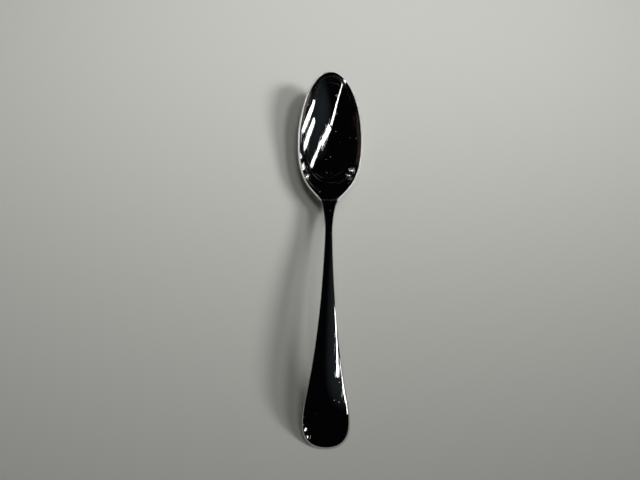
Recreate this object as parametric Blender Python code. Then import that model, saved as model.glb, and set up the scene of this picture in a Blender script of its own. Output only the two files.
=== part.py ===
"""Dessert spoon with a turned-down handle, in two pieces of polished steel.

The heel of a pressed bowl lies on the tongue of a forged handle and butts against the handle's
shoulder at the neck line. Metres, +Z up: the spoon rests on z = 0, +Y points to the tip of the
bowl, and the origin lies under the middle of the spoon's length.
"""

from math import cos, pi, radians, sin, tan

import bmesh
import bpy
import numpy as np
from mathutils import Vector
from mathutils.geometry import interpolate_bezier

for old_object in list(bpy.data.objects):
    bpy.data.objects.remove(old_object)

# Lengths along the spoon
BOWL_LENGTH = 0.0742      # neck line to tip
BOWL_NOSE = 0.0388        # widest line of the bowl to tip
BOWL_FRONT = 0.0425       # deepest point of the bowl to tip
HANDLE_LENGTH = 0.1113    # end of the handle to neck line
NECK_TAPER = 0.0180       # neck line to the slimmest place of the stem
CREST_FROM_END = 0.0440   # end of the handle to the top of its arch
END_ROUND = 0.0092        # end of the handle to its widest line
TONGUE_LENGTH = 0.0140    # neck line to the end of the tongue under the bowl

# Widths
BOWL_WIDTH = 0.0335
NECK_WIDTH = 0.0088
WAIST_WIDTH = 0.0038
HANDLE_WIDTH = 0.0199

# Heights above the table
TIP_HEIGHT = 0.0140
NECK_HEIGHT = 0.0074
CREST_HEIGHT = 0.0130

# Thicknesses
BOWL_WALL = 0.0014
RIM_WIDTH = 0.0007        # flat top of the rim
RIM_EDGE = 0.0003         # upright outer edge of the rim
HEEL_EDGE = 0.0010        # the same edge at the heel
NECK_THICKNESS = 0.0039
WAIST_THICKNESS = 0.0038
CREST_THICKNESS = 0.0026
END_THICKNESS = 0.0022
TONGUE_TIP = 0.0004

# Rounded edges of the handle: how far each reaches in from the outline, and how far it falls
END_EDGE = 0.0009
CREST_EDGE = 0.0007
WAIST_EDGE = 0.0006
NECK_EDGE = 0.0005
END_FALL = 0.0011
CREST_FALL = 0.0010
WAIST_FALL = 0.0014
NECK_FALL = 0.0012

# Radii of the handle's crowned top, across
END_CROWN = 0.026
CREST_CROWN = 0.018
WAIST_CROWN = 0.005
NECK_CROWN = 0.200

# Clearance between the two pieces, and the flats worn where the spoon rests
SEAT_GAP = 0.0003
BOWL_FLAT_DEPTH = 0.00015
END_FLAT_DEPTH = 0.0004

# Slopes: the sides at the shoulder and waist in plan, then the handle's end, the neck and the bowl's tip
# in profile
SHOULDER_SLOPE = tan(radians(37))
WAIST_SLOPE = -tan(radians(1.1))
END_SLOPE = tan(radians(34))
NECK_SLOPE = -tan(radians(7))
TIP_RIM_SLOPE = tan(radians(10.5))
TIP_WALL_SLOPE = tan(radians(40.5))

# Shape factors: how long a curve keeps to its first and last slope, as shares of its length
ROUND_PULL = 0.5523
END_PULL = 0.64
HANDLE_PULLS = (0.15, 0.77)
NECK_PULLS = (0.38, 0.10)
SHOULDER_PULLS = (0.21, 0.66)
ARCH_PULLS = (0.25, 0.62)
STEM_PULLS = (0.36, 0.36)
RIM_PULLS = (0.35, 0.33)
HEEL_PULLS = (0.20, 0.45)
FRONT_PULLS = (0.45, 0.30)

# Cross-sections: how full the bowl is, where 2 is a parabola and more is squarer, and the share of the
# handle's crown that its back follows
BOWL_FULLNESS = 2.2
BACK_HOLLOW = 0.8

# Facets
ACROSS_BOWL = 17
ACROSS_HANDLE = 7
AROUND_EDGE = 4
STATIONS = 13
CURVE_POINTS = 64
WELD = 1e-6

# Stations along Y, worked out from the lengths
END_Y = -(HANDLE_LENGTH + BOWL_LENGTH) / 2
NECK_Y = END_Y + HANDLE_LENGTH
TIP_Y = NECK_Y + BOWL_LENGTH
WAIST_Y = NECK_Y - NECK_TAPER
HANDLE_WIDEST_Y = END_Y + END_ROUND
CREST_Y = END_Y + CREST_FROM_END
BOWL_WIDEST_Y = TIP_Y - BOWL_NOSE
FLOOR_Y = TIP_Y - BOWL_FRONT


def bezier(start, first_handle, last_handle, end, count):
    """Points of one Bezier stretch, given as (y, value) pairs."""
    corners = [Vector((*pair, 0)) for pair in (start, first_handle, last_handle, end)]
    return np.array([point[:2] for point in interpolate_bezier(*corners, count)])


def stretch(start, end, pulls, slopes=(0, 0), count=CURVE_POINTS):
    """A curve between two (y, value) pairs that leaves and arrives on the given slopes."""
    first, last = np.array(pulls) * (end[0] - start[0])
    first_handle = (start[0] + first, start[1] + slopes[0] * first)
    last_handle = (end[0] - last, end[1] - slopes[1] * last)
    return bezier(start, first_handle, last_handle, end, count)


def rounded(middle_y, half_width, point_y, pull, count=STATIONS):
    """A quarter round, from the widest line to the point where the outline crosses the middle."""
    side_handle = (middle_y + (point_y - middle_y) * pull, half_width)
    point_handle = (point_y, half_width * pull)
    return bezier((middle_y, half_width), side_handle, point_handle, (point_y, 0), count)


def joined(*stretches):
    """Stretches end to end, each without the first point, which the one before it holds."""
    return np.vstack([stretches[0]] + [part[1:] for part in stretches[1:]])


def height(profile, y):
    return float(np.interp(y, profile[:, 0], profile[:, 1]))


# Outline in plan, as (y, half width), in the stretches of the two pieces
handle_outline = joined(
    rounded(HANDLE_WIDEST_Y, HANDLE_WIDTH / 2, END_Y, END_PULL)[::-1],
    stretch((HANDLE_WIDEST_Y, HANDLE_WIDTH / 2), (WAIST_Y, WAIST_WIDTH / 2), HANDLE_PULLS, (0, WAIST_SLOPE),
            2 * STATIONS),
    stretch((WAIST_Y, WAIST_WIDTH / 2), (NECK_Y, NECK_WIDTH / 2), NECK_PULLS, (WAIST_SLOPE, SHOULDER_SLOPE),
            STATIONS),
)
bowl_outline = joined(
    stretch((NECK_Y, NECK_WIDTH / 2), (BOWL_WIDEST_Y, BOWL_WIDTH / 2), SHOULDER_PULLS, (SHOULDER_SLOPE, 0),
            STATIONS),
    rounded(BOWL_WIDEST_Y, BOWL_WIDTH / 2, TIP_Y, ROUND_PULL),
)

# Profiles from the side, as (y, z)
handle_top = joined(
    stretch((END_Y + END_EDGE, END_THICKNESS - END_FLAT_DEPTH), (CREST_Y, CREST_HEIGHT), ARCH_PULLS,
            (END_SLOPE, 0)),
    stretch((CREST_Y, CREST_HEIGHT), (NECK_Y, NECK_HEIGHT), STEM_PULLS, (0, NECK_SLOPE)),
)
handle_thickness = np.array([
    (END_Y, END_THICKNESS),
    (CREST_Y, CREST_THICKNESS),
    (WAIST_Y, WAIST_THICKNESS),
    (NECK_Y, NECK_THICKNESS),
])
edge_reach = np.array([(END_Y, END_EDGE), (CREST_Y, CREST_EDGE), (WAIST_Y, WAIST_EDGE), (NECK_Y, NECK_EDGE)])
edge_fall = np.array([(END_Y, END_FALL), (CREST_Y, CREST_FALL), (WAIST_Y, WAIST_FALL), (NECK_Y, NECK_FALL)])
crown_radius = np.array([
    (HANDLE_WIDEST_Y, END_CROWN),
    (CREST_Y, CREST_CROWN),
    (WAIST_Y, WAIST_CROWN),
    (NECK_Y, NECK_CROWN),
])
rim = stretch((NECK_Y, NECK_HEIGHT), (TIP_Y, TIP_HEIGHT), RIM_PULLS, (NECK_SLOPE, TIP_RIM_SLOPE))
inner_tip = (TIP_Y - RIM_WIDTH, height(rim, TIP_Y - RIM_WIDTH))
inner_floor = joined(
    stretch((NECK_Y, NECK_HEIGHT), (FLOOR_Y, BOWL_WALL - BOWL_FLAT_DEPTH), HEEL_PULLS, (NECK_SLOPE, 0)),
    stretch((FLOOR_Y, BOWL_WALL - BOWL_FLAT_DEPTH), inner_tip, FRONT_PULLS, (0, TIP_WALL_SLOPE)),
)
outer_floor = joined(
    stretch((NECK_Y, NECK_HEIGHT - BOWL_WALL), (FLOOR_Y, -BOWL_FLAT_DEPTH), HEEL_PULLS, (NECK_SLOPE, 0)),
    stretch((FLOOR_Y, -BOWL_FLAT_DEPTH), (TIP_Y, TIP_HEIGHT - RIM_EDGE), FRONT_PULLS, (0, TIP_WALL_SLOPE)),
)


def lower_edge(y):
    """Height of the rim's lower outer edge: the edge thins from the heel to the widest line."""
    heel_share = max(0, (BOWL_WIDEST_Y - y) / (BOWL_WIDEST_Y - NECK_Y))
    return height(rim, y) - RIM_EDGE - (HEEL_EDGE - RIM_EDGE) * heel_share ** 2


def hollow(share):
    """How much of the depth is reached at a share of the half width, 1 in the middle and 0 at the rim."""
    return 1 - min(1, abs(share)) ** BOWL_FULLNESS


def underside(x, y):
    """Height of the bowl's outer surface, which the tongue follows."""
    edge = lower_edge(y)
    return edge + (height(outer_floor, y) - edge) * hollow(x / height(bowl_outline, y))


def bowl_ring(outer, inner):
    """One section of the shell, along the outside from left to right and back along the inside."""
    (outer_y, outer_half), (inner_y, inner_half) = outer, inner
    across = [sin(pi * (step / (ACROSS_BOWL - 1) - 0.5)) for step in range(ACROSS_BOWL)]
    edge = lower_edge(outer_y)
    drop = height(outer_floor, outer_y) - edge
    outside = [(share * outer_half, outer_y, edge + drop * hollow(share)) for share in across]
    brim = height(rim, inner_y)
    depth = height(inner_floor, inner_y) - brim
    inside = [(-share * inner_half, inner_y, brim + depth * hollow(share)) for share in across]
    top = height(rim, outer_y)
    return outside + [(outer_half, outer_y, top)] + inside + [(-outer_half, outer_y, top)]


def inset(outline, reach, end_runs):
    """The outline moved inwards by a reach, square to its run, which is given where it begins and ends."""
    along = np.gradient(outline, axis=0)
    along[0], along[-1] = end_runs
    along /= np.linalg.norm(along, axis=1, keepdims=True)
    return outline + reach * np.column_stack((along[:, 1], -along[:, 0]))


def turn(start, first_handle, last_handle, end):
    """Points between the ends of one Bezier turn in space."""
    return interpolate_bezier(start, first_handle, last_handle, end, AROUND_EDGE)[1:-1]


def handle_ring(outer, inner):
    """One section of the handle: its crowned top, right edge, hollowed back and left edge."""
    (outer_y, outer_half), (inner_y, inner_half) = outer, inner
    radius = height(crown_radius, outer_y)
    middle = height(handle_top, inner_y)
    thickness = height(handle_thickness, inner_y)
    top, back = [], []
    for step in range(ACROSS_HANDLE):
        x = inner_half * (2 * step / (ACROSS_HANDLE - 1) - 1)
        crown = x ** 2 / (2 * radius)
        top.append(Vector((x, inner_y, middle - crown)))
        back.append(Vector((-x, inner_y, middle - thickness - BACK_HOLLOW * crown)))
    out = Vector((outer_half - inner_half, outer_y - inner_y, 0))
    rise = (height(handle_top, inner_y + END_EDGE) - middle) / END_EDGE
    onward = out + Vector((0, 0, rise * out.y - inner_half / radius * out.x))
    fall = Vector((0, 0, height(edge_fall, outer_y)))
    side = top[-1] + onward - fall
    foot = Vector((side.x, side.y, back[0].z))
    edge = turn(top[-1], top[-1] + ROUND_PULL * onward, side + ROUND_PULL * fall, side)
    edge += [side] + turn(side, side.lerp(foot, ROUND_PULL), back[0] + ROUND_PULL * out, back[0])
    return top + edge + back + [Vector((-point.x, point.y, point.z)) for point in reversed(edge)]


def skinned(rings):
    """A closed skin over rings with equal numbers of points: a grid, wrapped round them and welded."""
    around = len(rings[0])
    along = len(rings) - 1
    bm = bmesh.new()
    bmesh.ops.create_grid(bm, x_segments=around, y_segments=along, size=0.5)
    for vert in bm.verts:
        column = round((vert.co.x + 0.5) * around) % around
        row = round((vert.co.y + 0.5) * along)
        vert.co = rings[row][column]
    bmesh.ops.remove_doubles(bm, verts=bm.verts, dist=WELD)
    bmesh.ops.holes_fill(bm, edges=bm.edges, sides=0)
    return bm


def rested(bm):
    """Cut the skin flat where it stands on the table, and turn its faces outwards."""
    everything = bm.verts[:] + bm.edges[:] + bm.faces[:]
    bmesh.ops.bisect_plane(bm, geom=everything, dist=WELD, plane_co=(0, 0, 0), plane_no=(0, 0, 1),
                           clear_inner=True)
    bmesh.ops.holes_fill(bm, edges=bm.edges, sides=0)
    bmesh.ops.recalc_face_normals(bm, faces=bm.faces)
    if bm.calc_volume(signed=True) < 0:
        bmesh.ops.reverse_faces(bm, faces=bm.faces)
    return bm


def polished_steel(name, colour, roughness):
    material = bpy.data.materials.new(name)
    material.use_nodes = True
    shader = material.node_tree.nodes["Principled BSDF"]
    shader.inputs["Base Color"].default_value = (*colour, 1)
    shader.inputs["Metallic"].default_value = 1
    shader.inputs["Roughness"].default_value = roughness
    return material


def add_piece(name, bm, material):
    mesh = bpy.data.meshes.new(name)
    bm.to_mesh(mesh)
    bm.free()
    mesh.shade_smooth()
    mesh.set_sharp_from_angle(angle=radians(35))
    mesh.materials.append(material)
    piece = bpy.data.objects.new(name, mesh)
    bpy.context.scene.collection.objects.link(piece)
    return piece


def make_bowl():
    """Pressed shell whose rim is inset along the outline, with a square end at the neck line."""
    outer = bowl_outline.copy()
    outer[0] = (NECK_Y + SEAT_GAP, height(bowl_outline, NECK_Y + SEAT_GAP))
    inner = inset(outer, RIM_WIDTH, ((1, 0), (0, -1)))
    rings = [bowl_ring(outside, inside) for outside, inside in zip(outer, inner)]
    return rested(skinned(rings))


def make_handle():
    """Forged bar from the rounded end to the shoulder at the neck line, then the tongue beyond it."""
    reach = np.interp(handle_outline[:, 0], edge_reach[:, 0], edge_reach[:, 1])
    inner = inset(handle_outline, reach[:, None], ((0, 1), (1, 0)))
    rings = [handle_ring(outside, inside) for outside, inside in zip(handle_outline, inner)]
    seats = [underside(point.x, NECK_Y) - SEAT_GAP for point in rings[-1]]
    root = [Vector((point.x, point.y, min(point.z, seat))) for point, seat in zip(rings[-1], seats)]
    depths = [seat - point.z for point, seat in zip(root, seats)]
    rings.append(root)
    for step in range(1, STATIONS):
        angle = pi / 2 * step / STATIONS
        y = NECK_Y + TONGUE_LENGTH * sin(angle)
        thinned = 1 - (1 - TONGUE_TIP / max(depths)) * sin(angle)
        ring = []
        for point, depth in zip(root, depths):
            x = point.x * cos(angle)
            ring.append(Vector((x, y, underside(x, y) - SEAT_GAP - depth * thinned)))
        rings.append(ring)
    tip = Vector((0, NECK_Y + TONGUE_LENGTH, 0))
    tip.z = underside(tip.x, tip.y) - SEAT_GAP - TONGUE_TIP / 2
    rings.append([tip] * len(root))
    return rested(skinned(rings))


add_piece("bowl", make_bowl(), polished_steel("bowl_steel", (0.56, 0.56, 0.55), 0.06))
add_piece("handle", make_handle(), polished_steel("handle_steel", (0.56, 0.56, 0.55), 0.08))
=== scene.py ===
"""Dessert spoon of mirror-polished steel, lying face up on a pale table under tube lamps."""

from math import cos, pi, radians, sin, tan

import bmesh
import bpy
import numpy as np
from mathutils import Matrix, Vector
from mathutils.geometry import interpolate_bezier


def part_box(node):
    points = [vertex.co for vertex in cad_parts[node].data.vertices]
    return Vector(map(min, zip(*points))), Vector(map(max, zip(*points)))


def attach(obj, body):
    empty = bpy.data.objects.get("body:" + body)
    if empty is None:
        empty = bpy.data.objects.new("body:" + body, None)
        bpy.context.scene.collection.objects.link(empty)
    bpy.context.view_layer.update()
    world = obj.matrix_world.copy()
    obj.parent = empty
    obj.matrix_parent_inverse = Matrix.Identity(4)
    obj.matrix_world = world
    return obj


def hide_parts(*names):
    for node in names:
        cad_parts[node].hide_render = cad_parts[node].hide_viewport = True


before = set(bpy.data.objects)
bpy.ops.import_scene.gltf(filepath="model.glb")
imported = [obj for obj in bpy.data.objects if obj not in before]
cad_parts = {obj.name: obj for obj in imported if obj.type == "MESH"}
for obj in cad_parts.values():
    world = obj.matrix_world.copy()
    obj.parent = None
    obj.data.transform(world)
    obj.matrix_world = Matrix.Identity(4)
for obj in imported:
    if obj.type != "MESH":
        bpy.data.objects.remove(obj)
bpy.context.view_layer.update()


# Bowl
# A long oval bowl pressed from stainless sheet, thinned towards its rounded rim and polished to a mirror.
# Its heel lies on the handle's tongue and butts against the handle's shoulder at the neck line.
SEAT_GAP = 0.0003         # between the bowl's end and the shoulder in the frame
NECK_LINE = 0.00012       # what shows of that gap once the ends are dressed flush
BOWL_NOSE = 0.0388        # widest line of the bowl to tip
BOWL_FRONT = 0.0425       # deepest point of the bowl to tip
NECK_WIDTH = 0.0088
NECK_HEIGHT = 0.0074
BOWL_WALL = 0.0014
BOWL_FLAT_DEPTH = 0.00015
RIM_WIDTH = 0.0007
RIM_EDGE = 0.0003         # upright outer edge of the rim
HEEL_EDGE = 0.0010        # the same edge at the heel
RIM_BLEND = 0.985         # share of the half width where the wall turns over into the rim
RIM_TURN = 0.02           # how far the turn follows the wall's slope, as a share of the half width
SHOULDER_SLOPE = tan(radians(37))
NECK_SLOPE = -tan(radians(7))
TIP_RIM_SLOPE = tan(radians(10.5))
TIP_WALL_SLOPE = tan(radians(40.5))
ROUND_PULL = 0.5523       # of a quarter circle; a pull is a share of a curve's length along y
SHOULDER_PULLS = (0.21, 0.66)
RIM_PULLS = (0.35, 0.33)
HEEL_PULLS = (0.20, 0.45)
FRONT_PULLS = (0.45, 0.30)
BOWL_FULLNESS = 2.2       # power of the section: 2 is a parabola, more is fuller
ACROSS_BOWL = 97          # points across one face of the shell
ALONG_BOWL = 90           # points along each stretch of its outline
RIM_STEPS = 10            # points over the rim, with those where it begins and ends
CURVE_POINTS = 2000       # fine enough to read heights from
WELD = 1e-6               # points nearer than this are one
SHARP_EDGE = radians(35)  # faces that meet at more than this are shaded apart

bowl_low, bowl_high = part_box("bowl")
handle_low, handle_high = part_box("handle")
NECK_Y = bowl_low.y - SEAT_GAP
TIP_Y = bowl_high.y
BOWL_WIDEST_Y = TIP_Y - BOWL_NOSE
FLOOR_Y = TIP_Y - BOWL_FRONT


def bezier(start, first_handle, last_handle, end, count):
    """Points of one Bezier stretch, given as (y, value) pairs."""
    corners = [Vector((*pair, 0)) for pair in (start, first_handle, last_handle, end)]
    return np.array([point[:2] for point in interpolate_bezier(*corners, count)])


def stretch(start, end, pulls, slopes=(0, 0), count=CURVE_POINTS):
    """A curve between two (y, value) pairs that leaves and arrives on the given slopes."""
    first, last = np.array(pulls) * (end[0] - start[0])
    first_handle = (start[0] + first, start[1] + slopes[0] * first)
    last_handle = (end[0] - last, end[1] - slopes[1] * last)
    return bezier(start, first_handle, last_handle, end, count)


def rounded(middle_y, half_width, point_y, pull, count):
    """A quarter round, from the widest line to the point where the outline crosses the middle."""
    side_handle = (middle_y + (point_y - middle_y) * pull, half_width)
    point_handle = (point_y, half_width * pull)
    return bezier((middle_y, half_width), side_handle, point_handle, (point_y, 0), count)


def joined(*stretches):
    """Stretches end to end, each without the first point, which the one before it holds."""
    return np.vstack([stretches[0]] + [part[1:] for part in stretches[1:]])


def height(profile, y):
    """Value at y of a profile of (y, value) pairs."""
    return float(np.interp(y, profile[:, 0], profile[:, 1]))


bowl_outline = joined(
    stretch((NECK_Y, NECK_WIDTH / 2), (BOWL_WIDEST_Y, bowl_high.x), SHOULDER_PULLS, (SHOULDER_SLOPE, 0),
            ALONG_BOWL),
    rounded(BOWL_WIDEST_Y, bowl_high.x, TIP_Y, ROUND_PULL, ALONG_BOWL),
)
rim = stretch((NECK_Y, NECK_HEIGHT), (TIP_Y, bowl_high.z), RIM_PULLS, (NECK_SLOPE, TIP_RIM_SLOPE))
inner_tip = (TIP_Y - RIM_WIDTH, height(rim, TIP_Y - RIM_WIDTH))
inner_floor = joined(
    stretch((NECK_Y, NECK_HEIGHT), (FLOOR_Y, BOWL_WALL - BOWL_FLAT_DEPTH), HEEL_PULLS, (NECK_SLOPE, 0)),
    stretch((FLOOR_Y, BOWL_WALL - BOWL_FLAT_DEPTH), inner_tip, FRONT_PULLS, (0, TIP_WALL_SLOPE)),
)
outer_floor = joined(
    stretch((NECK_Y, NECK_HEIGHT - BOWL_WALL), (FLOOR_Y, -BOWL_FLAT_DEPTH), HEEL_PULLS, (NECK_SLOPE, 0)),
    stretch((FLOOR_Y, -BOWL_FLAT_DEPTH), (TIP_Y, bowl_high.z - RIM_EDGE), FRONT_PULLS, (0, TIP_WALL_SLOPE)),
)


def inset(outline, reach, end_runs):
    """The outline moved inwards by a reach, square to its run, which is given where it begins and ends."""
    along = np.gradient(outline, axis=0)
    along[0], along[-1] = end_runs
    along /= np.linalg.norm(along, axis=1, keepdims=True)
    return outline + reach * np.column_stack((along[:, 1], -along[:, 0]))


def lower_edge(y):
    """Height of the rim's lower outer edge: the edge thins from the heel to the widest line."""
    heel_share = max(0, (BOWL_WIDEST_Y - y) / (BOWL_WIDEST_Y - NECK_Y))
    return height(rim, y) - RIM_EDGE - (HEEL_EDGE - RIM_EDGE) * heel_share ** 2


def hollow(share):
    """How much of the depth is reached at a share of the half width, 1 in the middle and 0 at the rim."""
    return 1 - min(1, abs(share)) ** BOWL_FULLNESS


def underside(x, y):
    """Height of the bowl's outer surface, which the tongue follows."""
    edge = lower_edge(y)
    return edge + (height(outer_floor, y) - edge) * hollow(x / height(bowl_outline, y))


def bowl_ring(outer, inner):
    """One section of the shell: along the outside, over the rim, back along the inside, over the rim."""
    (outer_y, outer_half), (inner_y, inner_half) = outer, inner
    across = [sin(pi * (step / (ACROSS_BOWL - 1) - 0.5)) for step in range(ACROSS_BOWL)]
    edge = lower_edge(outer_y)
    drop = height(outer_floor, outer_y) - edge
    outside = [Vector((share * outer_half, outer_y, edge + drop * hollow(share))) for share in across]
    brim = height(rim, inner_y)
    depth = height(inner_floor, inner_y) - brim
    inside = []
    for share in across:
        reached = -share * RIM_BLEND
        inside.append(Vector((reached * inner_half, inner_y, brim + depth * hollow(reached))))
    wall_rise = -depth * BOWL_FULLNESS * RIM_BLEND ** (BOWL_FULLNESS - 1)
    up_the_edge = outside[-1] + Vector((0, 0, height(rim, outer_y) - edge))
    up_the_wall = inside[0] + RIM_TURN * Vector((inner_half, 0, wall_rise))
    over_rim = interpolate_bezier(outside[-1], up_the_edge, up_the_wall, inside[0], RIM_STEPS)[1:-1]
    over_left_rim = [Vector((-point.x, point.y, point.z)) for point in reversed(over_rim)]
    return outside + over_rim + inside + over_left_rim


def skinned(rings):
    """A closed skin over rings with equal numbers of points: a grid, wrapped round them and welded.

    Its UV map, sweep, runs round the rings in u and from the first ring to the last in v.
    """
    around = len(rings[0])
    along = len(rings) - 1
    bm = bmesh.new()
    bm.loops.layers.uv.new("sweep")
    bmesh.ops.create_grid(bm, x_segments=around, y_segments=along, size=0.5, calc_uvs=True)
    for vert in bm.verts:
        column = round((vert.co.x + 0.5) * around) % around
        row = round((vert.co.y + 0.5) * along)
        vert.co = rings[row][column]
    bmesh.ops.remove_doubles(bm, verts=bm.verts, dist=WELD)
    bmesh.ops.holes_fill(bm, edges=bm.edges, sides=0)
    return bm


def rested(bm):
    """Cut the skin flat where it stands on the table, and turn its faces outwards."""
    everything = bm.verts[:] + bm.edges[:] + bm.faces[:]
    bmesh.ops.bisect_plane(bm, geom=everything, dist=WELD, plane_co=(0, 0, 0), plane_no=(0, 0, 1),
                           clear_inner=True)
    bmesh.ops.holes_fill(bm, edges=bm.edges, sides=0)
    bmesh.ops.recalc_face_normals(bm, faces=bm.faces)
    if bm.calc_volume(signed=True) < 0:
        bmesh.ops.reverse_faces(bm, faces=bm.faces)
    return bm


def add_piece(name, bm, material):
    """Make an object of a finished mesh, smooth but for its sharp edges."""
    mesh = bpy.data.meshes.new(name)
    bm.to_mesh(mesh)
    bm.free()
    mesh.shade_smooth()
    mesh.set_sharp_from_angle(angle=SHARP_EDGE)
    mesh.materials.append(material)
    piece = bpy.data.objects.new(name, mesh)
    bpy.context.scene.collection.objects.link(piece)
    return piece


def linear(hex_colour):
    """An sRGB hex colour as linear values, with alpha."""
    shares = [int(hex_colour[place:place + 2], 16) / 255 for place in (0, 2, 4)]
    return (*[s / 12.92 if s <= 0.04045 else ((s + 0.055) / 1.055) ** 2.4 for s in shares], 1)


def add_node(tree, kind, settings=None, values=None, links=None):
    """Add a node, set its properties and its sockets' values, and link its inputs to other nodes' outputs."""
    node = tree.nodes.new(kind)
    for setting, value in (settings or {}).items():
        setattr(node, setting, value)
    for socket, value in (values or {}).items():
        node.inputs[socket].default_value = value
    for socket, (source, output) in (links or {}).items():
        tree.links.new(source.outputs[output], node.inputs[socket])
    return node


# Mirror-polished stainless steel: nearly black where it mirrors the dark, white where it mirrors a lamp.
# Smudges dull it in soft patches; hairlines and dried specks break up the edges of what it mirrors.
STEEL_GREY = "C5C5C3"
CLEAN_ROUGHNESS = 0.02
SMUDGED_ROUGHNESS = 0.035
SPECK_ROUGHNESS = 0.6
SMUDGE_SIZE = 0.006
SMUDGE_LEVELS = (0.42, 0.68)    # of the noise, where a smudge begins and is full
SPECK_SPACING = 0.0024
SPECK_RADIUS = 0.14             # as a share of the spacing
SPECK_HEIGHT = 0.0001
HAIRLINE_WIDTH = 0.00015        # coarser than a real one, so that it shows
HAIRLINE_LEVELS = (0.66, 0.78)  # of the noise, where a hairline begins and is deepest


def roughen(tree, mark):
    """Make the steel at least as rough as a mark's first output says."""
    roughness = tree.nodes["Principled BSDF"].inputs["Roughness"]
    rougher = add_node(tree, "ShaderNodeMath", {"operation": "MAXIMUM"},
                       links={0: (roughness.links[0].from_node, 0), 1: (mark, 0)})
    tree.links.new(rougher.outputs[0], roughness)


def polished_steel(name, hairlines, specked):
    """Polished steel with sets of hairlines, given as (angle to the spoon's length, length, depth).

    Specked is the share of places with a dried speck.
    """
    material = bpy.data.materials.new(name)
    material.use_nodes = True
    tree = material.node_tree
    shader = tree.nodes["Principled BSDF"]
    shader.inputs["Base Color"].default_value = linear(STEEL_GREY)
    shader.inputs["Metallic"].default_value = 1
    place = add_node(tree, "ShaderNodeTexCoord")
    smudge = add_node(tree, "ShaderNodeTexNoise", values={"Scale": 1 / SMUDGE_SIZE, "Detail": 4},
                      links={"Vector": (place, "Object")})
    smudged = add_node(tree, "ShaderNodeMapRange", links={"Value": (smudge, "Fac")},
                       values={"From Min": SMUDGE_LEVELS[0], "From Max": SMUDGE_LEVELS[1],
                               "To Min": CLEAN_ROUGHNESS, "To Max": SMUDGED_ROUGHNESS})
    tree.links.new(smudged.outputs[0], shader.inputs["Roughness"])
    speck = add_node(tree, "ShaderNodeTexVoronoi", values={"Scale": 1 / SPECK_SPACING},
                     links={"Vector": (place, "Object")})
    dome = add_node(tree, "ShaderNodeMapRange", {"interpolation_type": "SMOOTHSTEP"},
                    {"From Min": 0, "From Max": SPECK_RADIUS, "To Min": 1, "To Max": 0},
                    {"Value": (speck, "Distance")})
    chance = add_node(tree, "ShaderNodeSeparateColor", links={"Color": (speck, "Color")})
    there = add_node(tree, "ShaderNodeMath", {"operation": "LESS_THAN"}, {1: specked}, {0: (chance, "Red")})
    kept = add_node(tree, "ShaderNodeMath", {"operation": "MULTIPLY"}, links={0: (dome, 0), 1: (there, 0)})
    dull = add_node(tree, "ShaderNodeMath", {"operation": "MULTIPLY"}, {1: SPECK_ROUGHNESS}, {0: (kept, 0)})
    roughen(tree, dull)
    relief = add_node(tree, "ShaderNodeBump", values={"Distance": SPECK_HEIGHT}, links={"Height": (kept, 0)})
    for angle, length, depth in hairlines:
        turned = add_node(tree, "ShaderNodeMapping", {"vector_type": "TEXTURE"},
                          {"Rotation": (0, 0, angle), "Scale": (HAIRLINE_WIDTH, length, length)},
                          {"Vector": (place, "Object")})
        grain = add_node(tree, "ShaderNodeTexNoise", values={"Scale": 1, "Detail": 0},
                         links={"Vector": (turned, "Vector")})
        line = add_node(tree, "ShaderNodeMapRange", links={"Value": (grain, "Fac")},
                        values={"From Min": HAIRLINE_LEVELS[0], "From Max": HAIRLINE_LEVELS[1],
                                "To Min": 1, "To Max": 0})
        relief = add_node(tree, "ShaderNodeBump", values={"Distance": depth},
                          links={"Height": (line, "Result"), "Normal": (relief, "Normal")})
    tree.links.new(relief.outputs["Normal"], shader.inputs["Normal"])
    return material


BOWL_HAIRLINES = ((radians(-14), 0.014, 2e-6), (radians(24), 0.007, 1e-6), (radians(-68), 0.005, 1e-6))
BOWL_SPECKED = 0.60
bowl_steel = polished_steel("polished_steel_bowl", BOWL_HAIRLINES, BOWL_SPECKED)

# Marks of the bowl alone: faint lines from the polishing wheel ring its walls, drawn as coarse as they need
# to show. The rim and the dressed end at the neck line are worn to a pale satin.
POLISH_WIDTH = 0.00022
POLISH_LENGTH = 0.012
POLISH_ROUGHNESS = 0.30
POLISH_LEVELS = (0.62, 0.76)  # of the noise, where a line begins and is full
POLISH_FROM = (0.50, 0.70)    # shares of the way out to the rim between which the lines fade in
POLISH_PLACE = (7, 2, 5)      # which stretch of the noise is used, one that keeps off the lamps' streaks
ROUND_BOWL = 2 * (ACROSS_BOWL + RIM_STEPS - 2)
RIM_U = (ACROSS_BOWL + RIM_STEPS / 2 - 1.5) / ROUND_BOWL  # the middle of the right rim
RIMS_APART = 0.5          # from the right rim to the left one, in u
WORN_HALF = 0.012         # half the width of the worn rim, in u
WORN_FADE = 0.022         # where it has faded out
WORN_END = 0.006          # length of the worn end, in v
WORN_END_SHARE = 0.12     # how worn that end is, compared with the rim
WORN_ROUGHNESS = 0.45
WORN_METALLIC = 0.5       # below 1, since a worn edge scatters light from all sides

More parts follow.
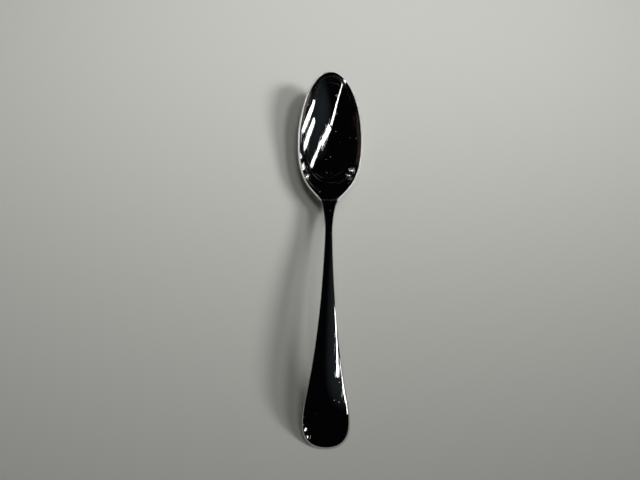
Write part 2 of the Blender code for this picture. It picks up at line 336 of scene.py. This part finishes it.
marks = bowl_steel.node_tree
wall_share = add_node(marks, "ShaderNodeAttribute", {"attribute_name": "wall_share"})
spot = add_node(marks, "ShaderNodeTexCoord")
spot_axes = add_node(marks, "ShaderNodeSeparateXYZ", links={"Vector": (spot, "Object")})
level = add_node(marks, "ShaderNodeCombineXYZ",
                 links={"X": (wall_share, "Fac"), "Y": (spot_axes, "Y"), "Z": (spot_axes, "X")})
drawn_out = add_node(marks, "ShaderNodeMapping", links={"Vector": (level, "Vector")},
                     values={"Location": POLISH_PLACE,
                             "Scale": (bowl_high.x / POLISH_WIDTH, 1 / POLISH_LENGTH, 1 / POLISH_LENGTH)})
wheel = add_node(marks, "ShaderNodeTexNoise", values={"Scale": 1, "Detail": 0},
                 links={"Vector": (drawn_out, "Vector")})
rubbed = add_node(marks, "ShaderNodeMapRange", links={"Value": (wheel, "Fac")},
                  values={"From Min": POLISH_LEVELS[0], "From Max": POLISH_LEVELS[1],
                          "To Max": POLISH_ROUGHNESS})
outward = add_node(marks, "ShaderNodeMapRange", links={"Value": (wall_share, "Fac")},
                   values={"From Min": POLISH_FROM[0], "From Max": POLISH_FROM[1]})
lines = add_node(marks, "ShaderNodeMath", {"operation": "MULTIPLY"}, links={0: (rubbed, 0), 1: (outward, 0)})
roughen(marks, lines)
sweep = add_node(marks, "ShaderNodeUVMap", {"uv_map": "sweep"})
sweep_axes = add_node(marks, "ShaderNodeSeparateXYZ", links={"Vector": (sweep, "UV")})
past_rim = add_node(marks, "ShaderNodeMath", {"operation": "SUBTRACT"}, {1: RIM_U}, {0: (sweep_axes, "X")})
off_rim = add_node(marks, "ShaderNodeMath", {"operation": "PINGPONG"}, {1: RIMS_APART / 2},
                   {0: (past_rim, 0)})
worn_rim = add_node(marks, "ShaderNodeMapRange", links={"Value": (off_rim, 0)},
                    values={"From Min": WORN_HALF, "From Max": WORN_FADE, "To Min": 1, "To Max": 0})
worn_end = add_node(marks, "ShaderNodeMapRange", links={"Value": (sweep_axes, "Y")},
                    values={"From Min": 0, "From Max": WORN_END, "To Min": WORN_END_SHARE, "To Max": 0})
worn = add_node(marks, "ShaderNodeMath", {"operation": "MAXIMUM"}, links={0: (worn_rim, 0), 1: (worn_end, 0)})
satin = add_node(marks, "ShaderNodeMath", {"operation": "MULTIPLY"}, {1: WORN_ROUGHNESS}, {0: (worn, 0)})
roughen(marks, satin)
metallic = add_node(marks, "ShaderNodeMapRange", values={"To Min": 1, "To Max": WORN_METALLIC},
                    links={"Value": (worn, 0)})
marks.links.new(metallic.outputs[0], marks.nodes["Principled BSDF"].inputs["Metallic"])


def with_wall_share(bm):
    """Keep on every point how far out it lies, judged by its depth: 0 at the bowl's floor, 1 at the rim."""
    deepest = height(rim, FLOOR_Y) - height(inner_floor, FLOOR_Y)
    layer = bm.verts.layers.float.new("wall_share")
    for vert in bm.verts:
        depth = height(rim, vert.co.y) - vert.co.z
        vert[layer] = max(0, 1 - depth / deepest) ** 0.5
    return bm


bowl_edge = bowl_outline.copy()
bowl_edge[0] = (NECK_Y + NECK_LINE, height(bowl_outline, NECK_Y + NECK_LINE))
bowl_brim = inset(bowl_edge, RIM_WIDTH, ((1, 0), (0, -1)))
bowl_rings = [bowl_ring(outside, inside) for outside, inside in zip(bowl_edge, bowl_brim)]
bowl = add_piece("bowl_shell", with_wall_share(rested(skinned(bowl_rings))), bowl_steel)
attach(bowl, "root")
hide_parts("bowl")


# Handle
# A forged bar of the same steel: a slim stem that rises from the neck in a low arch, widens, and turns down
# to a rounded end. Its tongue runs on under the bowl's heel.
NECK_TAPER = 0.0180       # neck line to the slimmest place of the stem
CREST_FROM_END = 0.0440   # end of the handle to the top of its arch
END_ROUND = 0.0092        # end of the handle to its widest line
TONGUE_LENGTH = 0.0140    # neck line to the end of the tongue under the bowl
WAIST_WIDTH = 0.0038
NECK_THICKNESS = 0.0039
WAIST_THICKNESS = 0.0038
CREST_THICKNESS = 0.0026
END_THICKNESS = 0.0022
TONGUE_TIP = 0.0004
END_FLAT_DEPTH = 0.0004
END_EDGE = 0.0009         # how far the rounded edge reaches in from the outline
CREST_EDGE = 0.0002       # crisper along the bar than the faceted solid can show
WAIST_EDGE = 0.0004
NECK_EDGE = 0.0003
END_FALL = 0.0011         # how far that edge falls
CREST_FALL = 0.0010
WAIST_FALL = 0.0014
NECK_FALL = 0.0012
END_CROWN = 0.026         # radius of the crowned top, across
CREST_CROWN = 0.018
WAIST_CROWN = 0.005
NECK_CROWN = 0.200
BACK_HOLLOW = 0.8         # share of the crown that the back follows
WAIST_SLOPE = -tan(radians(1.1))
END_SLOPE = tan(radians(34))
END_PULL = 0.64
HANDLE_PULLS = (0.15, 0.77)
NECK_PULLS = (0.38, 0.10)
ARCH_PULLS = (0.25, 0.62)
STEM_PULLS = (0.36, 0.36)
ACROSS_HANDLE = 61        # points across its top, and its back
AROUND_EDGE = 16          # points round each half of an edge, with both ends
ALONG_HANDLE = 70         # points along its end, its neck and its tongue

END_Y = handle_low.y
WAIST_Y = NECK_Y - NECK_TAPER
HANDLE_WIDEST_Y = END_Y + END_ROUND
CREST_Y = END_Y + CREST_FROM_END

handle_outline = joined(
    rounded(HANDLE_WIDEST_Y, handle_high.x, END_Y, END_PULL, ALONG_HANDLE)[::-1],
    stretch((HANDLE_WIDEST_Y, handle_high.x), (WAIST_Y, WAIST_WIDTH / 2), HANDLE_PULLS, (0, WAIST_SLOPE),
            3 * ALONG_HANDLE),
    stretch((WAIST_Y, WAIST_WIDTH / 2), (NECK_Y, NECK_WIDTH / 2), NECK_PULLS, (WAIST_SLOPE, SHOULDER_SLOPE),
            ALONG_HANDLE),
)
handle_top = joined(
    stretch((END_Y + END_EDGE, END_THICKNESS - END_FLAT_DEPTH), (CREST_Y, handle_high.z), ARCH_PULLS,
            (END_SLOPE, 0)),
    stretch((CREST_Y, handle_high.z), (NECK_Y, NECK_HEIGHT), STEM_PULLS, (0, NECK_SLOPE)),
)
handle_thickness = np.array([
    (END_Y, END_THICKNESS),
    (CREST_Y, CREST_THICKNESS),
    (WAIST_Y, WAIST_THICKNESS),
    (NECK_Y, NECK_THICKNESS),
])
edge_reach = np.array([(END_Y, END_EDGE), (CREST_Y, CREST_EDGE), (WAIST_Y, WAIST_EDGE), (NECK_Y, NECK_EDGE)])
edge_fall = np.array([(END_Y, END_FALL), (CREST_Y, CREST_FALL), (WAIST_Y, WAIST_FALL), (NECK_Y, NECK_FALL)])
crown_radius = np.array([
    (HANDLE_WIDEST_Y, END_CROWN),
    (CREST_Y, CREST_CROWN),
    (WAIST_Y, WAIST_CROWN),
    (NECK_Y, NECK_CROWN),
])


def turn(start, first_handle, last_handle, end):
    """Points between the ends of one Bezier turn in space."""
    return interpolate_bezier(start, first_handle, last_handle, end, AROUND_EDGE)[1:-1]


def handle_ring(outer, inner):
    """One section of the handle: its crowned top, right edge, hollowed back and left edge."""
    (outer_y, outer_half), (inner_y, inner_half) = outer, inner
    radius = height(crown_radius, outer_y)
    middle = height(handle_top, inner_y)
    thickness = height(handle_thickness, inner_y)
    top, back = [], []
    for step in range(ACROSS_HANDLE):
        x = inner_half * (2 * step / (ACROSS_HANDLE - 1) - 1)
        crown = x ** 2 / (2 * radius)
        top.append(Vector((x, inner_y, middle - crown)))
        back.append(Vector((-x, inner_y, middle - thickness - BACK_HOLLOW * crown)))
    out = Vector((outer_half - inner_half, outer_y - inner_y, 0))
    rise = (height(handle_top, inner_y + END_EDGE) - middle) / END_EDGE
    onward = out + Vector((0, 0, rise * out.y - inner_half / radius * out.x))
    fall = Vector((0, 0, height(edge_fall, outer_y)))
    side = top[-1] + onward - fall
    foot = Vector((side.x, side.y, back[0].z))
    edge = turn(top[-1], top[-1] + ROUND_PULL * onward, side + ROUND_PULL * fall, side)
    edge += [side] + turn(side, side.lerp(foot, ROUND_PULL), back[0] + ROUND_PULL * out, back[0])
    return top + edge + back + [Vector((-point.x, point.y, point.z)) for point in reversed(edge)]


handle_reach = np.interp(handle_outline[:, 0], edge_reach[:, 0], edge_reach[:, 1])
handle_brim = inset(handle_outline, handle_reach[:, None], ((0, 1), (1, 0)))
handle_rings = [handle_ring(outside, inside) for outside, inside in zip(handle_outline, handle_brim)]
seats = [underside(point.x, NECK_Y) - SEAT_GAP for point in handle_rings[-1]]
tongue_root = [Vector((point.x, point.y, min(point.z, seat))) for point, seat in zip(handle_rings[-1], seats)]
depths = [seat - point.z for point, seat in zip(tongue_root, seats)]
handle_rings.append(tongue_root)
for step in range(1, ALONG_HANDLE):
    angle = pi / 2 * step / ALONG_HANDLE
    y = NECK_Y + TONGUE_LENGTH * sin(angle)
    thinned = 1 - (1 - TONGUE_TIP / max(depths)) * sin(angle)
    ring = []
    for point, depth in zip(tongue_root, depths):
        x = point.x * cos(angle)
        ring.append(Vector((x, y, underside(x, y) - SEAT_GAP - depth * thinned)))
    handle_rings.append(ring)
tongue_tip = Vector((0, NECK_Y + TONGUE_LENGTH, 0))
tongue_tip.z = underside(tongue_tip.x, tongue_tip.y) - SEAT_GAP - TONGUE_TIP / 2
handle_rings.append([tongue_tip] * len(tongue_root))
HANDLE_HAIRLINES = ((radians(-3), 0.014, 2e-6), (radians(17), 0.006, 1e-6))
HANDLE_SPECKED = 0.35
handle_steel = polished_steel("polished_steel_handle", HANDLE_HAIRLINES, HANDLE_SPECKED)
handle = add_piece("handle_bar", rested(skinned(handle_rings)), handle_steel)
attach(handle, "root")
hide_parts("handle")


# Table
# A plain table top of pale matt board that the spoon lies on, and that shows its shadow; no piece of the
# spoon.
TABLE_SIZE = 6.0
TABLE_GREY = "BDBDB8"
TABLE_ROUGHNESS = 0.9
TABLE_SPECULAR = 0.2

table_bm = bmesh.new()
bmesh.ops.create_grid(table_bm, x_segments=1, y_segments=1, size=TABLE_SIZE / 2)
matt_board = bpy.data.materials.new("matt_pale_board")
matt_board.use_nodes = True
board_shader = matt_board.node_tree.nodes["Principled BSDF"]
board_shader.inputs["Base Color"].default_value = linear(TABLE_GREY)
board_shader.inputs["Roughness"].default_value = TABLE_ROUGHNESS
board_shader.inputs["Specular IOR Level"].default_value = TABLE_SPECULAR
table = add_piece("table_top", table_bm, matt_board)


# Lamps
# Long tube lamps and a few small ones overhead in a dark room, each a strip between directions given as run
# over rise from the piece that mirrors it. Soft lamps that the steel doesn't mirror light the table.
TUBE_GLOW = 6.0           # well past white
WOOD_GLOW = 0.07
WOOD_BROWN = "C4A184"
LAMP_DISTANCE = 1.5
bowl_middle = Vector((0, (NECK_Y + TIP_Y) / 2, 0))
handle_middle = Vector((0, (END_Y + CREST_Y) / 2, handle_high.z))


def add_lamp(name, middle, start, end, width, glow):
    """A strip of light between two directions from a middle point, facing it, of a given radiance."""
    first, last = [middle + LAMP_DISTANCE * Vector((*run, 1)).normalized() for run in (start, end)]
    along = (last - first).normalized()
    centre = (first + last) / 2
    away = centre - middle
    away = (away - along * away.dot(along)).normalized()
    data = bpy.data.lights.new(name, "AREA")
    data.shape = "RECTANGLE"
    data.size = (last - first).length
    data.size_y = width
    data.energy = glow * pi * data.size * data.size_y
    lamp = bpy.data.objects.new(name, data)
    axes = Matrix((along, away.cross(along), away)).transposed()
    lamp.matrix_world = Matrix.Translation(centre) @ axes.to_4x4()
    bpy.context.scene.collection.objects.link(lamp)
    return lamp


def add_mirrored(name, lit, middle, glow, *path):
    """A lamp of strips end to end, through (run, run, width), that lights only the piece that mirrors it."""
    receivers = bpy.data.collections.new(name + "_lights")
    receivers.objects.link(lit)
    strips = []
    for start, end in zip(path, path[1:]):
        strip = add_lamp(name, middle, start[:2], end[:2], (start[2] + end[2]) / 2, glow)
        strip.light_linking.receiver_collection = receivers
        strips.append(strip)
    return strips


add_mirrored("tube_a", bowl, bowl_middle, TUBE_GLOW, (1.80, 0.10, 0.10), (1.92, 0.32, 0.17),
             (2.16, 0.57, 0.16), (2.43, 0.84, 0.14), (2.68, 1.12, 0.12), (2.74, 1.30, 0.09))
add_mirrored("tube_b", bowl, bowl_middle, TUBE_GLOW, (1.20, 0.47, 0.12), (1.34, 0.66, 0.15),
             (1.47, 0.83, 0.13), (1.64, 1.03, 0.11), (1.82, 1.20, 0.08))
add_mirrored("tube_c_upper", bowl, bowl_middle, TUBE_GLOW, (-1.26, -0.52, 0.03), (-0.87, -0.36, 0.03),
             (-0.60, -0.23, 0.05), (-0.36, -0.06, 0.09), (-0.22, 0.10, 0.11), (-0.13, 0.20, 0.09),
             (-0.03, 0.36, 0.08))
add_mirrored("tube_c_lower", bowl, bowl_middle, TUBE_GLOW, (0.02, 0.40, 0.14), (0.16, 0.52, 0.13),
             (0.33, 0.60, 0.04), (0.45, 0.65, 0.02), (0.56, 0.72, 0.04), (0.64, 0.84, 0.07),
             (0.76, 1.03, 0.08), (0.88, 1.33, 0.10))
add_mirrored("glint_rim", bowl, bowl_middle, TUBE_GLOW, (-1.72, -0.62, 0.04), (-2.20, -0.55, 0.04))
add_mirrored("glint_left", bowl, bowl_middle, TUBE_GLOW, (2.45, 1.70, 0.02), (2.08, 1.65, 0.02))
add_mirrored("glint_heel", bowl, bowl_middle, TUBE_GLOW, (1.70, 1.67, 0.03), (1.46, 1.70, 0.03))
add_mirrored("glint_low", bowl, bowl_middle, TUBE_GLOW, (1.16, 1.83, 0.01), (0.98, 1.71, 0.01))
add_mirrored("glint_right", bowl, bowl_middle, TUBE_GLOW, (-0.91, 1.46, 0.006), (-1.34, 1.64, 0.006))
add_mirrored("glint_shoulder", bowl, bowl_middle, TUBE_GLOW / 2, (-0.70, 1.55, 0.006), (-0.96, 1.66, 0.006))
add_mirrored("tube_h_inner", handle, handle_middle, TUBE_GLOW, (0.49, 0.42, 0.04), (0.50, 0.16, 0.06),
             (0.49, 0.03, 0.09), (0.46, -0.08, 0.12))
add_mirrored("tube_h_outer", handle, handle_middle, TUBE_GLOW, (0.68, 0.12, 0.06), (0.74, -0.06, 0.09),
             (0.80, -0.27, 0.11), (0.98, -0.55, 0.12), (1.28, -1.02, 0.10))
add_mirrored("glint_end", handle, handle_middle, TUBE_GLOW, (-1.20, -2.05, 0.035), (-1.38, -2.38, 0.035))
add_mirrored("glint_corner", handle, handle_middle, TUBE_GLOW, (-1.31, -2.78, 0.03), (-1.24, -2.72, 0.03))
for wood in add_mirrored("wood_glow", bowl, bowl_middle, WOOD_GLOW, (-4.50, 1.30, 0.08),
                         (-2.90, 1.28, 0.08), (-1.70, 1.60, 0.08)):
    wood.data.color = linear(WOOD_BROWN)[:3]

POOL_MIDDLE = Vector((-0.05, 0.18, 0))  # where the soft lamps point, past the bowl
POOL_SPREAD = radians(28.5)
for name, start, end, width, glow in (
    ("over", (-0.20, 0.35), (0.20, 0.35), 0.70, 0.11),
    ("near", (0.32, -0.30), (0.32, 0.30), 0.50, 0.14),
    ("mid", (1.00, 0.00), (1.00, 0.30), 0.30, 0.98),
    ("far", (1.85, -0.55), (1.85, -0.05), 0.30, 2.34),
):
    soft = add_lamp("soft_" + name, POOL_MIDDLE, start, end, width, glow)
    soft.data.spread = POOL_SPREAD
    soft.visible_glossy = False

# The room fills in the table's shadows. The steel mirrors only its pale walls, low down, and a faint patch
# of its dark ceiling.
FILL_GREY = "3C3C3A"
WALL_GREY = "989690"
CEILING_BLACK = "050506"
PATCH_GREY = "262A2D"
WALL_TOP = (0.06, 0.19)   # rise at which the wall begins to darken, and is dark
WALL_LEAN = 0.07          # how much higher the pale wall stands on the right than in the middle
PATCH_WAY = Vector((0.66, 0.12, 1)).normalized()
PATCH_REACH = cos(radians(41))  # where the patch has faded out, off its middle
PATCH_CORE = cos(radians(5))    # where it is full
world = bpy.data.worlds.new("dim_room")
bpy.context.scene.world = world
world.use_nodes = True
room = world.node_tree
fill = room.nodes["Background"]
fill.inputs["Color"].default_value = linear(FILL_GREY)
outlook = add_node(room, "ShaderNodeTexCoord")
upward = add_node(room, "ShaderNodeSeparateXYZ", links={"Vector": (outlook, "Generated")})
leaning = add_node(room, "ShaderNodeMath", {"operation": "MULTIPLY_ADD"}, {1: -WALL_LEAN},
                   {0: (upward, "X"), 2: (upward, "Z")})
walls = add_node(room, "ShaderNodeValToRGB", links={"Fac": (leaning, 0)})
pale, dark = walls.color_ramp.elements
pale.position, dark.position = WALL_TOP
pale.color, dark.color = linear(WALL_GREY), linear(CEILING_BLACK)
nearness = add_node(room, "ShaderNodeVectorMath", {"operation": "DOT_PRODUCT"}, {1: PATCH_WAY},
                    {0: (outlook, "Generated")})
patch = add_node(room, "ShaderNodeMapRange", {"interpolation_type": "SMOOTHSTEP"},
                 {"From Min": PATCH_REACH, "From Max": PATCH_CORE}, {"Value": (nearness, "Value")})
shades = add_node(room, "ShaderNodeMixRGB", values={"Color2": linear(PATCH_GREY)},
                  links={"Fac": (patch, 0), "Color1": (walls, "Color")})
mirrored = add_node(room, "ShaderNodeBackground", links={"Color": (shades, "Color")})
ray = add_node(room, "ShaderNodeLightPath")
either = add_node(room, "ShaderNodeMixShader",
                  links={0: (ray, "Is Glossy Ray"), 1: (fill, 0), 2: (mirrored, 0)})
room.links.new(either.outputs[0], room.nodes["World Output"].inputs["Surface"])


# Camera
# Above the handle, tilted towards the bowl, as the photograph was taken.
CAMERA_AT = (-0.0017344, -0.0888737, 0.2160992)
CAMERA_HEADING = radians(1.5284)
CAMERA_TILT = radians(22.5259)
CAMERA_ROLL = radians(-0.3516)
LENS_MM = 27.0
SENSOR_MM = 36.0
CLIP_START = 0.01

camera_data = bpy.data.cameras.new("camera")
camera_data.lens = LENS_MM
camera_data.sensor_width = SENSOR_MM
camera_data.clip_start = CLIP_START
camera = bpy.data.objects.new("camera", camera_data)
aim = Matrix.Rotation(CAMERA_HEADING, 4, "Z") @ Matrix.Rotation(CAMERA_TILT, 4, "X")
camera.matrix_world = Matrix.Translation(CAMERA_AT) @ aim @ Matrix.Rotation(CAMERA_ROLL, 4, "Z")
bpy.context.scene.collection.objects.link(camera)
bpy.context.scene.camera = camera
bpy.context.scene.view_settings.view_transform = "Standard"
